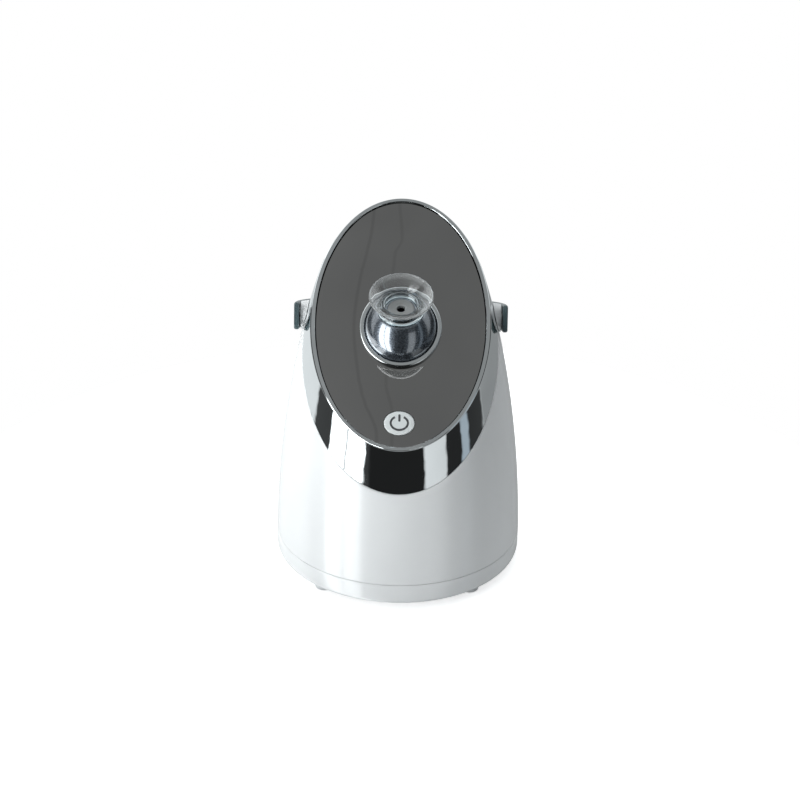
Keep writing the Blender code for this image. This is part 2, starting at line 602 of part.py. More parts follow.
def boiler():
    """Pot, gasket and lid of the steam boiler, its heater, cut-out, level probe and pipes."""
    z0, z1 = BOILER_Z0, BOILER_Z1
    wall = 2.0 * MM
    pot = [(0.3 * MM, z0), (BOILER_R, z0), (BOILER_R, z1 - 2 * MM), (BOILER_R + 3 * MM, z1 - 2 * MM),
           (BOILER_R + 3 * MM, z1), (BOILER_R - wall, z1), (BOILER_R - wall, z0 + wall), (0.3 * MM, z0 + wall)]
    vessel = add("boiler_pot", turned(pot, 24), "alloy")
    vessel.location = (0, BOILER_Y, 0)
    port = add("feed_port", turned([(2.6 * MM, -8 * MM), (2.6 * MM, 8 * MM)], 10), "alloy")
    port.matrix_world = Matrix.Translation((0, BOILER_Y + BOILER_R, DOCK_Z)) @ Matrix.Rotation(math.pi / 2, 4, "X")
    cut(vessel, port)

    ring_z = z1 + GAP
    ring = [(BOILER_R - 1 * MM, ring_z), (BOILER_R + 2.6 * MM, ring_z), (BOILER_R + 2.6 * MM, ring_z + 1.2 * MM),
            (BOILER_R - 1 * MM, ring_z + 1.2 * MM)]
    gasket = add("boiler_gasket", turned(ring, 24, hollow=True), "silicone")
    gasket.location = (0, BOILER_Y, 0)

    lid_z = ring_z + 1.2 * MM + GAP
    lid = [(4.0 * MM, lid_z), (BOILER_R + 3 * MM, lid_z), (BOILER_R + 3 * MM, lid_z + 2.2 * MM),
           (12 * MM, lid_z + 7 * MM), (6.4 * MM, lid_z + 9 * MM), (6.0 * MM, lid_z + 18 * MM),
           (4.0 * MM, lid_z + 18 * MM)]
    cover = add("boiler_lid", turned(lid, 24, hollow=True), "black")
    cover.location = (0, BOILER_Y, 0)
    probe_hole = add("probe_hole", turned([(1.6 * MM, 0), (1.6 * MM, 0.14)], 10), "black")
    probe_hole.location = (15 * MM, BOILER_Y, 0)
    cut(cover, probe_hole)

    probe = add("level_probe", turned([(1.2 * MM, z0 + 12 * MM), (1.2 * MM, lid_z + 12 * MM)], 10), "steel")
    probe.location = (15 * MM, BOILER_Y, 0)

    plate = [(21 * MM, z0 - GAP - 5 * MM), (21 * MM, z0 - GAP)]
    heater = add("heater_plate", turned(plate, 24), "alloy")
    heater.location = (0, BOILER_Y, 0)
    cutout = [(6 * MM, z0 - 2 * GAP - 10 * MM), (8 * MM, z0 - 2 * GAP - 9 * MM), (8 * MM, z0 - 2 * GAP - 5 * MM)]
    thermal = add("thermal_cutout", turned(cutout, 12), "steel")
    thermal.location = (0, BOILER_Y, 0)
    return lid_z + 18 * MM


def bezier(a, b, c, d, steps):
    out = []
    for i in range(steps + 1):
        t = i / steps
        s = 1 - t
        out.append(a * s ** 3 + b * (3 * s * s * t) + c * (3 * s * t * t) + d * t ** 3)
    return out


def pipes(spout_z, ball_matrix):
    """Steam hose from the boiler to the socket, and feed tube from the dock to the boiler."""
    spout = Vector((0, BOILER_Y, spout_z + GAP))
    port = ball_matrix @ Vector((0, 0, -31.0 * MM - GAP))
    rise = Vector((0, 0, MM))
    out = ball_matrix.to_3x3() @ Vector((0, 0, -MM))
    bend = bezier(spout + rise * 2, spout + rise * 10, port + out * 22, port + out * 3, 8)
    pipe([spout] + bend + [port], 5.6 * MM, 12, "silicone", "steam_hose", bore=4.0 * MM)
    start = Vector((0, TANK_FRONT - 10.0 * MM - GAP, DOCK_Z))
    stop = Vector((0, BOILER_Y + BOILER_R - 1.0 * MM, DOCK_Z))
    pipe([start, start.lerp(stop, 0.5), stop], 2.2 * MM, 10, "silicone", "feed_tube", bore=1.2 * MM)


# ---------------------------------------------------------------- electrics

def electrics():
    """Main board on standoffs under the tank bay, ion generator with its needle, and the power inlet."""
    board_z = 21 * MM
    board_y = 36 * MM
    add("main_board", box((70 * MM, 46 * MM, 1.6 * MM), (0, board_y, board_z + 0.8 * MM)), "board")
    floor = FOOT_H + PAN_FLOOR + GAP
    places = {"front_left": (-30, -18), "front_right": (30, -18), "rear_left": (-30, 18), "rear_right": (30, 18)}
    for name, (x, y) in places.items():
        post = add("board_standoff_" + name, turned([(2.6 * MM, floor), (2.6 * MM, board_z - GAP)], 10), "brass")
        post.location = (x * MM, board_y + y * MM, 0)
    module = box((24 * MM, 18 * MM, 12 * MM), (38 * MM, -36 * MM, 96 * MM))
    add("ion_generator", module, "black")
    needle = [Vector((35 * MM, -33 * MM, 102.3 * MM)), Vector((35 * MM, -33 * MM, 114 * MM)),
              Vector((26 * MM, -24 * MM, 128 * MM))]
    pipe(needle, 0.7 * MM, 8, "steel", "ion_needle")
    back = body_radius(INLET_Z)
    inlet = add("power_inlet", box((19.6 * MM, 17 * MM, 11.6 * MM), (0, back - 8.2 * MM, INLET_Z)), "black")
    mouth = add("inlet_mouth", box((15.2 * MM, 20 * MM, 7.6 * MM), (0, back - 0.4 * MM, INLET_Z)), "black")
    cut(inlet, mouth)
    for side, name in ((-1, "left"), (1, "right")):
        profile = [(1.15 * MM, 0), (1.15 * MM, 7.4 * MM), (0.7 * MM, 8.0 * MM)]
        pin = add("inlet_pin_" + name, turned(profile, 10), "brass")
        base = Matrix.Translation((side * 4.3 * MM, back - 10.1 * MM, INLET_Z))
        pin.matrix_world = base @ Matrix.Rotation(-math.pi / 2, 4, "X")


def main():
    scene_clear()
    matrix, rim = face_frame()
    frame = empty("face_frame", matrix)
    outer_shell()
    head_shell(rim, matrix)
    front_panel(rim, matrix, frame)
    panel_carrier(rim, matrix, frame)
    base_pan()
    feet_and_screws()
    nozzle_collar(frame)
    ball_local = Matrix.Translation((0, NOZZLE_U, -BALL_DEPTH))
    ball_frame = empty("ball_frame", ball_local, frame)
    ball_unit(ball_frame)
    tilt = empty("nozzle_tilt", Matrix.Rotation(-TILT_UP, 4, "X"), ball_frame)
    nozzle(tilt)
    power_button(frame)
    handle_and_pivots()
    water_tank()
    tank_bay()
    spout_z = boiler()
    pipes(spout_z, matrix @ ball_local)
    electrics()


main()
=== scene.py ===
"""Facial steamer, visual model. Metres, +Z up, the user at -Y, as in the CAD frame."""
import json
import math

import bmesh
import bpy
from mathutils import Matrix, Vector


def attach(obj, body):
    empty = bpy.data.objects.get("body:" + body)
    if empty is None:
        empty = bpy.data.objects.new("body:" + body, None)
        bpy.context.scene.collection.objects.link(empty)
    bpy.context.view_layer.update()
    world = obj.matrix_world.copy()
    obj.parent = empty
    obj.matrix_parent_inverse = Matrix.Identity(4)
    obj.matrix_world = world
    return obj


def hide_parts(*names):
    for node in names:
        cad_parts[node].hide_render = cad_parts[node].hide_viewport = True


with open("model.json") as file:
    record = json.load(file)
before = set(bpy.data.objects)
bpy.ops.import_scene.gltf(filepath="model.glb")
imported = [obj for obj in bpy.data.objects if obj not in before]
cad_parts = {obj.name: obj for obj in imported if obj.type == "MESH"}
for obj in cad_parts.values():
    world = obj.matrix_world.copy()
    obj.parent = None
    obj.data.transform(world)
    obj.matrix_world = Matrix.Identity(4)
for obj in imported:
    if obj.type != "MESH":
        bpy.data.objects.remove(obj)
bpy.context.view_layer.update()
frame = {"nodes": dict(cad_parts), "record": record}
nodes = frame["nodes"]

MM = 0.001
GAP = 0.3 * MM
# Body: radius, height to its apex and two shape powers
BODY_R, BODY_H, BODY_P, BODY_Q = 80.3 * MM, 262.0 * MM, 1.82, 0.554
WALL = 2.6 * MM
# The two slanted cuts, each by its slope and its height on the body's axis
FACE_SLOPE, FACE_Z = math.radians(49.0), 190.85 * MM
SHELL_SLOPE, SHELL_Z = math.radians(50.8), 172.8 * MM
FOOT_H, SEAM_Z, BASE_EDGE_R = 4.0 * MM, 18.3 * MM, 76.0 * MM
FOOT_AT_R = 70.0 * MM
FEET = {"rear_right": 48.5, "rear_left": 131.5, "front_left": 228.5, "front_right": 311.5}
LIP_SIDE, LIP_END, RECESS = 2.9 * MM, 2.0 * MM, 1.8 * MM
# Nozzle and button, placed up the face from its middle
NOZZLE_U, BALL_R, BALL_DEPTH = -3.65 * MM, 22.6 * MM, 4.2 * MM
COLLAR_R, COLLAR_TOP, COLLAR_BORE = 25.2 * MM, 1.4 * MM, 22.2 * MM
COLLAR_NECK_R, COLLAR_DEPTH = 23.0 * MM, 5.2 * MM
TILT_UP = math.radians(25.0)
SEAT_H, GROOVE_H, SPIGOT_H = 17.2 * MM, 15.2 * MM, 18.0 * MM
GROOVE_R0, GROOVE_R1, BORE_R, BORE_FLOOR = 9.6 * MM, 11.7 * MM, 8.5 * MM, 16.2 * MM
BUTTON_U, BUTTON_A, BUTTON_B = -63.85 * MM, 9.3 * MM, 7.45 * MM
HINGE_Y, HINGE_Z, DROOP = 2.5 * MM, 165.0 * MM, math.radians(19.0)
PIVOT_R, CAP_R = 3.4 * MM, 4.0 * MM
BAIL_W, BAIL_REACH, BAIL_T, BAIL_H = 66.4 * MM, 80.15 * MM, 3.2 * MM, 17.0 * MM
BAIL_NOSE = 11.5 * MM
TANK_X, TANK_FRONT, TANK_Z0, TANK_Z1 = 43.0 * MM, 16.0 * MM, 46.0 * MM, 112.0 * MM
TANK_WALL, FILLER_Y, PORT_Z = 2.2 * MM, 44.0 * MM, 54.0 * MM
INLET_Z = 32.0 * MM
GRIP_Z, GRIP_OUT, GRIP_HALF = 97.0 * MM, 4.0 * MM, 14   # half the grip's arc in degrees
AROUND = 192                        # points round the body
STRIP = 5.2                         # radiance of the strip lights at the left


# ---------------------------------------------------------------- camera

def make_camera():
    data = bpy.data.cameras.new("camera")
    data.sensor_width = 36.0
    data.lens = 69.975
    data.shift_x = 0.00057
    data.shift_y = 0.00695
    data.clip_start = 0.05
    data.clip_end = 50.0
    cam = bpy.data.objects.new("camera", data)
    bpy.context.collection.objects.link(cam)
    turn = Matrix.Rotation(math.radians(64.036), 4, "X") @ Matrix.Rotation(math.radians(0.884), 4, "Z")
    cam.matrix_world = Matrix.Translation((0.0, -0.8991, 0.5418)) @ turn
    bpy.context.scene.camera = cam


make_camera()


# ---------------------------------------------------------------- node helpers

class Graph:
    """Short calls for building a material's or the world's nodes."""

    def __init__(self, tree):
        self.tree = tree
        self.tree.nodes.clear()

    def node(self, kind, **values):
        made = self.tree.nodes.new(kind)
        for key, value in values.items():
            setattr(made, key, value)
        return made

    def link(self, a, b):
        self.tree.links.new(a, b)

    def put(self, target, value):
        if hasattr(value, "links") or hasattr(value, "is_output"):
            self.link(value, target)
        else:
            target.default_value = value

    def math(self, op, a, b=None, c=None, clamp=False):
        made = self.node("ShaderNodeMath", operation=op, use_clamp=clamp)
        for i, value in enumerate((a, b, c)):
            if value is not None:
                self.put(made.inputs[i], value)
        return made.outputs[0]

    def coords(self):
        return self.node("ShaderNodeTexCoord").outputs["Object"]

    def noise(self, scale, detail=4.0, rough=0.5, vector=None, distortion=0.0):
        made = self.node("ShaderNodeTexNoise")
        made.inputs["Scale"].default_value = scale
        made.inputs["Detail"].default_value = detail
        made.inputs["Roughness"].default_value = rough
        made.inputs["Distortion"].default_value = distortion
        self.link(vector if vector is not None else self.coords(), made.inputs["Vector"])
        return made.outputs["Fac"]

    def ramp(self, fac, stops, blend="LINEAR"):
        made = self.node("ShaderNodeValToRGB")
        ramp = made.color_ramp
        ramp.interpolation = blend
        while len(ramp.elements) > 1:
            ramp.elements.remove(ramp.elements[-1])
        first = True
        for place, colour in stops:
            point = ramp.elements[0] if first else ramp.elements.new(place)
            point.position = place
            if isinstance(colour, (int, float)):
                colour = (colour, colour, colour)
            point.color = (*colour, 1.0)
            first = False
        self.link(fac, made.inputs[0])
        return made.outputs[0]

    def span(self, fac, low, high):
        made = self.node("ShaderNodeMapRange")
        made.inputs["To Min"].default_value = low
        made.inputs["To Max"].default_value = high
        self.link(fac, made.inputs["Value"])
        return made.outputs[0]

    def soft(self, fac, start, stop, low, high):
        made = self.node("ShaderNodeMapRange", interpolation_type="SMOOTHSTEP")
        for key, value in (("From Min", start), ("From Max", stop), ("To Min", low), ("To Max", high)):
            made.inputs[key].default_value = value
        self.put(made.inputs["Value"], fac)
        return made.outputs[0]

    def bump(self, height, strength, distance):
        made = self.node("ShaderNodeBump")
        made.inputs["Strength"].default_value = strength
        made.inputs["Distance"].default_value = distance
        self.link(height, made.inputs["Height"])
        return made.outputs["Normal"]


def new_material(name, **fixed):
    made = bpy.data.materials.new(name)
    made.use_nodes = True
    g = Graph(made.node_tree)
    shader = g.node("ShaderNodeBsdfPrincipled")
    out = g.node("ShaderNodeOutputMaterial")
    g.link(shader.outputs[0], out.inputs[0])
    for key, value in fixed.items():
        shader.inputs[key.replace("_", " ")].default_value = value
    return made, g, shader


def tint(g, fac, a, b, low=0.3, high=0.7):
    return g.ramp(fac, [(low, a), (high, b)])


def mat_white():
    made, g, sh = new_material("white_abs", Metallic=0.0, IOR=1.5, Coat_Weight=0.3, Coat_Roughness=0.05)
    soft = g.noise(38.0, 3.0)
    g.link(tint(g, soft, (0.848, 0.856, 0.862), (0.866, 0.873, 0.879)), sh.inputs["Base Color"])
    g.link(g.span(g.noise(420.0, 2.0), 0.20, 0.26), sh.inputs["Roughness"])
    g.link(g.bump(g.noise(700.0, 2.0), 0.015, 0.0002), sh.inputs["Normal"])
    return made


def mat_chrome():
    made, g, sh = new_material("chrome_plate", Metallic=1.0)
    g.link(tint(g, g.noise(60.0, 2.0), (0.77, 0.80, 0.81), (0.80, 0.83, 0.84)), sh.inputs["Base Color"])
    g.link(g.span(g.noise(300.0, 4.0), 0.025, 0.05), sh.inputs["Roughness"])
    swell = g.math("MULTIPLY", g.noise(62.0, 1.0, 0.3), 0.25)
    ripple = g.math("MULTIPLY_ADD", g.noise(170.0, 1.0, 0.3), 0.045, swell)
    g.link(g.bump(ripple, 1.0, 0.001), sh.inputs["Normal"])
    return made


def face_coords(g):
    """Millimetres across the face and up it, from the row frame."""
    turn = g.node("ShaderNodeMapping", vector_type="TEXTURE")
    origin = FACE.translation
    turn.inputs["Location"].default_value = tuple(origin)
    turn.inputs["Rotation"].default_value = (FACE_SLOPE, 0.0, 0.0)
    turn.inputs["Scale"].default_value = (MM, MM, MM)
    g.link(g.coords(), turn.inputs["Vector"])
    axes = g.node("ShaderNodeSeparateXYZ")
    g.link(turn.outputs[0], axes.inputs[0])
    return axes.outputs[0], axes.outputs[1]


def painted_reflection_line(g, across, up, path, width, depth):
    """A painted dark reflection line wandering down the face. path: (mm up the face, mm across)."""
    stops = [((u + 90.0) / 180.0, (x + 40.0) / 60.0) for u, x in path]
    course = g.ramp(g.math("MULTIPLY_ADD", up, 1 / 180.0, 0.5), sorted(stops), "CARDINAL")
    middle = g.math("MULTIPLY_ADD", course, 60.0, -40.0)
    off = g.math("ABSOLUTE", g.math("SUBTRACT", across, middle))
    return g.soft(off, 0.2, width, depth, 0.0)


def mat_mirror():
    """Smoked mirror, slightly wavy, its lower half bent a little upward, with two painted dark reflection
    lines down it.
    """
    made, g, sh = new_material("smoked_mirror", Metallic=1.0)
    across, up = face_coords(g)
    # Two painted dark reflection lines darken the mirror's colour along wavy paths
    left = painted_reflection_line(g, across, up, REFLECTION_LINE_LEFT, 1.7, 0.13)
    right = painted_reflection_line(g, across, up, REFLECTION_LINE_RIGHT, 1.7, 0.10)
    wide = g.noise(16.0, 2.0, 0.4, distortion=0.6)
    tone = tint(g, wide, (0.335, 0.330, 0.325), (0.375, 0.370, 0.364))
    painted_line_shade = g.math("SUBTRACT", g.math("SUBTRACT", 1.0, left), right)
    mixed = g.node("ShaderNodeMix", data_type="RGBA", blend_type="MULTIPLY")
    mixed.inputs["Factor"].default_value = 1.0
    g.link(tone, mixed.inputs[6])
    g.link(painted_line_shade, mixed.inputs[7])
    g.link(mixed.outputs[2], sh.inputs["Base Color"])
    g.link(g.span(g.noise(520.0, 3.0), 0.015, 0.035), sh.inputs["Roughness"])
    wavy = g.bump(g.noise(11.0, 1.0, 0.3), 0.02, 0.004)
    reach = g.node("ShaderNodeCombineXYZ")
    g.link(across, reach.inputs[0])
    g.link(g.math("SUBTRACT", up, NOZZLE_U / MM), reach.inputs[1])
    span = g.node("ShaderNodeVectorMath", operation="LENGTH")
    g.link(reach.outputs[0], span.inputs[0])
    clear_of_collar = g.soft(span.outputs["Value"], 25.4, 28.2, 0.0, 1.0)
    zone = g.math("MULTIPLY", g.soft(up, -27.0, 1.0, 1.0, 0.0), clear_of_collar)
    lean = g.node("ShaderNodeVectorMath", operation="SCALE")
    lean.inputs[0].default_value = (0.0, math.cos(FACE_SLOPE), math.sin(FACE_SLOPE))
    g.link(g.math("MULTIPLY", zone, 0.21), lean.inputs["Scale"])
    total = g.node("ShaderNodeVectorMath", operation="ADD")
    g.link(wavy, total.inputs[0])
    g.link(lean.outputs[0], total.inputs[1])
    unit = g.node("ShaderNodeVectorMath", operation="NORMALIZE")
    g.link(total.outputs[0], unit.inputs[0])
    g.link(unit.outputs[0], sh.inputs["Normal"])
    return made


def mat_flake():
    """Dark metallic lacquer: fine low flake under a clear coat."""
    made, g, sh = new_material("gunmetal_flake", Metallic=0.9, Coat_Weight=1.0, Coat_Roughness=0.02,
                               Coat_IOR=2.0)
    cells = g.node("ShaderNodeTexVoronoi", feature="F1")
    cells.inputs["Scale"].default_value = 2600.0
    g.link(g.coords(), cells.inputs["Vector"])
    grey = g.node("ShaderNodeRGBToBW")
    g.link(cells.outputs["Color"], grey.inputs[0])
    sparkle = g.ramp(grey.outputs[0], [(0.2, (0.12, 0.14, 0.168)), (0.6, (0.16, 0.184, 0.216)),
                                       (0.82, (0.25, 0.28, 0.32))])
    g.link(sparkle, sh.inputs["Base Color"])
    g.link(g.span(grey.outputs[0], 0.24, 0.34), sh.inputs["Roughness"])
    g.link(g.bump(grey.outputs[0], 0.06, 0.0001), sh.inputs["Normal"])
    return made


def mat_plastic(name, dark, light, rough=(0.4, 0.5), grain=1400.0, depth=0.12):
    made, g, sh = new_material(name)
    g.link(tint(g, g.noise(90.0, 3.0), dark, light), sh.inputs["Base Color"])
    g.link(g.span(g.noise(500.0, 3.0), *rough), sh.inputs["Roughness"])
    g.link(g.bump(g.noise(grain, 3.0), depth, 0.0002), sh.inputs["Normal"])
    return made


def mat_cup():
    """Clear acrylic, faintly hazed on the polished rim and smoky at the foot.

    Heights are in millimetres along the nozzle's axis, from the ball's centre.
    """
    made, g, sh = new_material("clear_acrylic", IOR=1.49)
    turn = g.node("ShaderNodeMapping", vector_type="TEXTURE")
    turn.inputs["Location"].default_value = tuple(NOZZLE.translation)
    turn.inputs["Rotation"].default_value = tuple(NOZZLE.to_euler())
    turn.inputs["Scale"].default_value = (MM, MM, MM)
    g.link(g.coords(), turn.inputs["Vector"])
    axes = g.node("ShaderNodeSeparateXYZ")
    g.link(turn.outputs[0], axes.inputs[0])
    height = g.math("ADD", axes.outputs[2], g.math("MULTIPLY_ADD", g.noise(260.0, 3.0), 0.3, -0.15))
    haze = g.soft(height, 28.0, 29.2, 0.0, 0.15)
    g.link(g.math("SUBTRACT", 0.985, haze), sh.inputs["Transmission Weight"])
    clean = tint(g, g.noise(45.0, 2.0), (0.95, 0.965, 0.97), (0.97, 0.985, 0.99))
    foot = g.node("ShaderNodeMix", data_type="RGBA")
    g.link(g.soft(height, 18.7, 20.6, 0.0, 1.0), foot.inputs["Factor"])
    foot.inputs[6].default_value = (0.36, 0.43, 0.46, 1.0)
    g.link(clean, foot.inputs[7])
    g.link(foot.outputs[2], sh.inputs["Base Color"])
    g.link(g.span(g.noise(260.0, 3.0), 0.01, 0.03), sh.inputs["Roughness"])
    return made


def mat_clear(name, colour, rough):
    made, g, sh = new_material(name, Transmission_Weight=1.0, IOR=1.49)
    pale = tuple(0.97 * c for c in colour)
    g.link(tint(g, g.noise(45.0, 2.0), pale, colour), sh.inputs["Base Color"])
    g.link(g.span(g.noise(260.0, 3.0), *rough), sh.inputs["Roughness"])
    return made


def mat_metal(name, dark, light, rough, grain):
    made, g, sh = new_material(name, Metallic=1.0)
    g.link(tint(g, g.noise(120.0, 4.0), dark, light), sh.inputs["Base Color"])
    g.link(g.span(g.noise(600.0, 4.0), *rough), sh.inputs["Roughness"])
    g.link(g.bump(g.noise(grain, 4.0), 0.1, 0.0002), sh.inputs["Normal"])
    return made


def mat_board():
    made, g, sh = new_material("solder_mask", Coat_Weight=0.4, Coat_Roughness=0.2)
    brick = g.node("ShaderNodeTexBrick")
    brick.inputs["Scale"].default_value = 140.0
    brick.inputs["Mortar Size"].default_value = 0.03
    brick.inputs["Color1"].default_value = (0.01, 0.12, 0.05, 1.0)
    brick.inputs["Color2"].default_value = (0.012, 0.14, 0.055, 1.0)
    brick.inputs["Mortar"].default_value = (0.02, 0.22, 0.09, 1.0)
    g.link(g.coords(), brick.inputs["Vector"])
    g.link(brick.outputs["Color"], sh.inputs["Base Color"])
    g.link(g.span(g.noise(300.0, 2.0), 0.35, 0.5), sh.inputs["Roughness"])
    return made


# ---------------------------------------------------------------- geometry helpers

def finish_mesh(name, bm, sharp=32.0):
    bmesh.ops.remove_doubles(bm, verts=bm.verts, dist=1e-7)
    bmesh.ops.recalc_face_normals(bm, faces=bm.faces)
    mesh = bpy.data.meshes.new(name)
    bm.to_mesh(mesh)
    bm.free()
    mesh.shade_smooth()
    mesh.set_sharp_from_angle(angle=math.radians(sharp))
    obj = bpy.data.objects.new(name, mesh)
    bpy.context.collection.objects.link(obj)
    return obj


def skin(rows, closed_rows=False):
    bm = bmesh.new()
    rings = [[bm.verts.new(p) for p in row] for row in rows]
    count = len(rings[0])
    pairs = list(zip(rings, rings[1:]))
    if closed_rows:
        pairs.append((rings[-1], rings[0]))
    for low, high in pairs:
        for i in range(count):
            j = (i + 1) % count
            bm.faces.new((low[i], low[j], high[j], high[i]))
    if not closed_rows:
        bm.faces.new(rings[0])
        bm.faces.new(list(reversed(rings[-1])))
    return bm


def turned(profile, segments=96, hollow=False):
    rows = []
    for radius, z in profile:
        row = []
        for i in range(segments):
            t = 2 * math.pi * i / segments
            row.append((radius * math.cos(t), radius * math.sin(t), z))
        rows.append(row)
    return skin(rows, closed_rows=hollow)


def rounded(points, closed=True, steps=4):
    """A profile with its corners rounded. points: (x, y, corner radius)."""
    out = []
    count = len(points)
    for i, (x, y, r) in enumerate(points):
        here = Vector((x, y))
        if r <= 0 or (not closed and i in (0, count - 1)):
            out.append((x, y))
            continue
        before = Vector(points[i - 1][:2]) - here
        after = Vector(points[(i + 1) % count][:2]) - here
        room = 0.42 * min(before.length, after.length)
        angle = before.angle(after)
        back = min(r / math.tan(angle / 2), room)
        r = back * math.tan(angle / 2)
        a = here + before.normalized() * back
        b = here + after.normalized() * back
        middle = (before.normalized() + after.normalized()).normalized()
        centre = here + middle * (r / math.sin(angle / 2))
        hold = 0.06 * min(before.length, after.length)
        start = a + before.normalized() * hold
        out.append((start.x, start.y))
        for k in range(steps + 1):
            mid = (a - centre).lerp(b - centre, k / steps)
            p = centre + mid.normalized() * r
            out.append((p.x, p.y))
        end = b + after.normalized() * hold
        out.append((end.x, end.y))
    return out


def spline(points, steps):
    """Catmull-Rom curve through a profile's points."""
    pts = [Vector(p) for p in points]
    pts = [2 * pts[0] - pts[1]] + pts + [2 * pts[-1] - pts[-2]]
    out = []
    for i in range(1, len(pts) - 2):
        a, b, c, d = pts[i - 1], pts[i], pts[i + 1], pts[i + 2]
        for k in range(steps):
            t = k / steps
            square = (2 * a - 5 * b + 4 * c - d) * t * t
            p = 0.5 * (2 * b + (c - a) * t + square + (3 * b - a - 3 * c + d) * t ** 3)
            out.append((p.x, p.y))
    out.append((pts[-2].x, pts[-2].y))
    return out


def arc(radius, start, stop, steps, cx=0.0, cy=0.0):
    out = []
    for i in range(steps + 1):
        t = math.radians(start + (stop - start) * i / steps)
        out.append((cx + radius * math.cos(t), cy + radius * math.sin(t)))
    return out


def ellipse(a, b, segments):
    return [(a * math.cos(2 * math.pi * i / segments), b * math.sin(2 * math.pi * i / segments))
            for i in range(segments)]


def body_radius(z):
    return BODY_R * (1 - (max(z - FOOT_H, 0.0) / BODY_H) ** BODY_P) ** BODY_Q


def cut_height(angle, slope, axis_z):
    z = axis_z
    for _ in range(60):
        z = 0.5 * z + 0.5 * (axis_z + math.tan(slope) * body_radius(z) * math.sin(angle))
        z = min(max(z, 0.0), 0.97 * BODY_H)
    return z


def body_point(angle, z, inset=0.0):
    radius = body_radius(z) - inset
    return Vector((radius * math.cos(angle), radius * math.sin(angle), z))


ANGLES = [2 * math.pi * i / AROUND for i in range(AROUND)]
RIM = [body_point(t, cut_height(t, FACE_SLOPE, FACE_Z)) for t in ANGLES]


def face_matrix():
    ys = [p.y for p in RIM]
    y = (min(ys) + max(ys)) / 2
    origin = Vector((0.0, y, FACE_Z + math.tan(FACE_SLOPE) * y))
    return Matrix.Translation(origin) @ Matrix.Rotation(FACE_SLOPE, 4, "X")


FACE = face_matrix()
BALL = FACE @ Matrix.Translation((0, NOZZLE_U, -BALL_DEPTH))
NOZZLE = BALL @ Matrix.Rotation(-TILT_UP, 4, "X")
BUTTON = FACE @ Matrix.Translation((0, BUTTON_U, 0))
HANDLE = Matrix.Translation((0, HINGE_Y, HINGE_Z)) @ Matrix.Rotation(-DROOP, 4, "X")


# Painted dark reflection lines in the mirror: (mm up the face, mm across it)
REFLECTION_LINE_LEFT = ((-68, -14.0), (-56, -19.1), (-48, -22.3), (-38, -24.9), (-2, -28.8), (34, -24.6),
               (54, -20.0), (81, -17.4))
REFLECTION_LINE_RIGHT = ((-56, -4.5), (-48, -6.5), (-38, -8.5), (34, -5.4), (47, -3.7), (54, -0.1), (76, -1.6))

MATS = {
    "white": mat_white(),
    "chrome": mat_chrome(),
    "mirror": mat_mirror(),
    "ball": mat_flake(),
    "button": mat_plastic("button_satin", (0.80, 0.83, 0.83), (0.84, 0.87, 0.87), (0.32, 0.4), 1800.0,
                          0.05),
    "insert": mat_plastic("outlet_grey", (0.315, 0.325, 0.325), (0.35, 0.36, 0.36), (0.4, 0.5)),
    "grip": mat_plastic("handle_grey", (0.070, 0.104, 0.114), (0.088, 0.124, 0.134), (0.26, 0.34), 1600.0,
                        0.1),
    "rubber": mat_plastic("foot_rubber", (0.60, 0.61, 0.62), (0.66, 0.67, 0.68), (0.6, 0.75), 900.0,
                          0.2),
    "silicone": mat_plastic("silicone", (0.66, 0.64, 0.61), (0.74, 0.72, 0.69), (0.45, 0.6)),
    "black": mat_plastic("moulded_black", (0.022, 0.022, 0.024), (0.035, 0.035, 0.037), (0.45, 0.6), 1100.0,
                         0.2),
    "steel": mat_metal("steel", (0.50, 0.50, 0.49), (0.60, 0.60, 0.58), (0.22, 0.34), 900.0),
    "alloy": mat_metal("cast_alloy", (0.46, 0.46, 0.46), (0.58, 0.58, 0.57), (0.38, 0.55), 400.0),
    "brass": mat_metal("brass", (0.60, 0.44, 0.18), (0.72, 0.54, 0.24), (0.2, 0.32), 900.0),
    "board": mat_board(),
    "clear": mat_cup(),
    "tank": mat_clear("tank_tint", (0.62, 0.74, 0.80), (0.04, 0.09)),
    "mark": mat_plastic("mark_ink", (0.065, 0.065, 0.07), (0.085, 0.085, 0.09), (0.4, 0.5)),
}


def place(obj, matrix):
    """Writes the frame into the mesh, so that every piece sits in the row frame."""
    obj.data.transform(matrix)
    return obj


def in_mm(*points):
    """Profile points given in millimetres."""
    return [tuple(value * MM for value in point) for point in points]


def cutter_rod(radius, z0, z1, segments, matrix):
    """A round cutter along Z from z0 to z1, then placed."""
    return place(finish_mesh("c", turned([(radius, z0), (radius, z1)], segments)), matrix)


def axle_frame(side):
    """Frame of a handle pivot, its Z axis outward. side: 1 right, -1 left."""
    return Matrix.Translation((0, HINGE_Y, HINGE_Z)) @ Matrix.Rotation(side * math.pi / 2, 4, "Y")


def foot_frame(angle):
    t = math.radians(angle)
    return Matrix.Translation((FOOT_AT_R * math.cos(t), FOOT_AT_R * math.sin(t), 0))


def piece(obj, body, slot, *stands_for, look=None):
    obj.data.materials.clear()
    obj.data.materials.append(MATS[look or slot])
    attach(obj, body)
    if stands_for:
        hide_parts(*stands_for)
    return obj


def carve(obj, *cutters):
    """Subtracts the cutters and keeps the result as a plain mesh."""
    for cutter in cutters:
        mod = obj.modifiers.new("cut", "BOOLEAN")
        mod.operation = "DIFFERENCE"
        mod.solver = "EXACT"
        mod.object = cutter
    graph = bpy.context.evaluated_depsgraph_get()
    graph.update()
    mesh = bpy.data.meshes.new_from_object(obj.evaluated_get(graph))
    obj.modifiers.clear()
    obj.data = mesh
    mesh.shade_smooth()
    mesh.set_sharp_from_angle(angle=math.radians(32))
    for cutter in cutters:
        bpy.data.objects.remove(cutter, do_unlink=True)
    return obj


def prism(outline, z0, z1):
    return skin([[(x, y, z0) for x, y in outline], [(x, y, z1) for x, y in outline]])


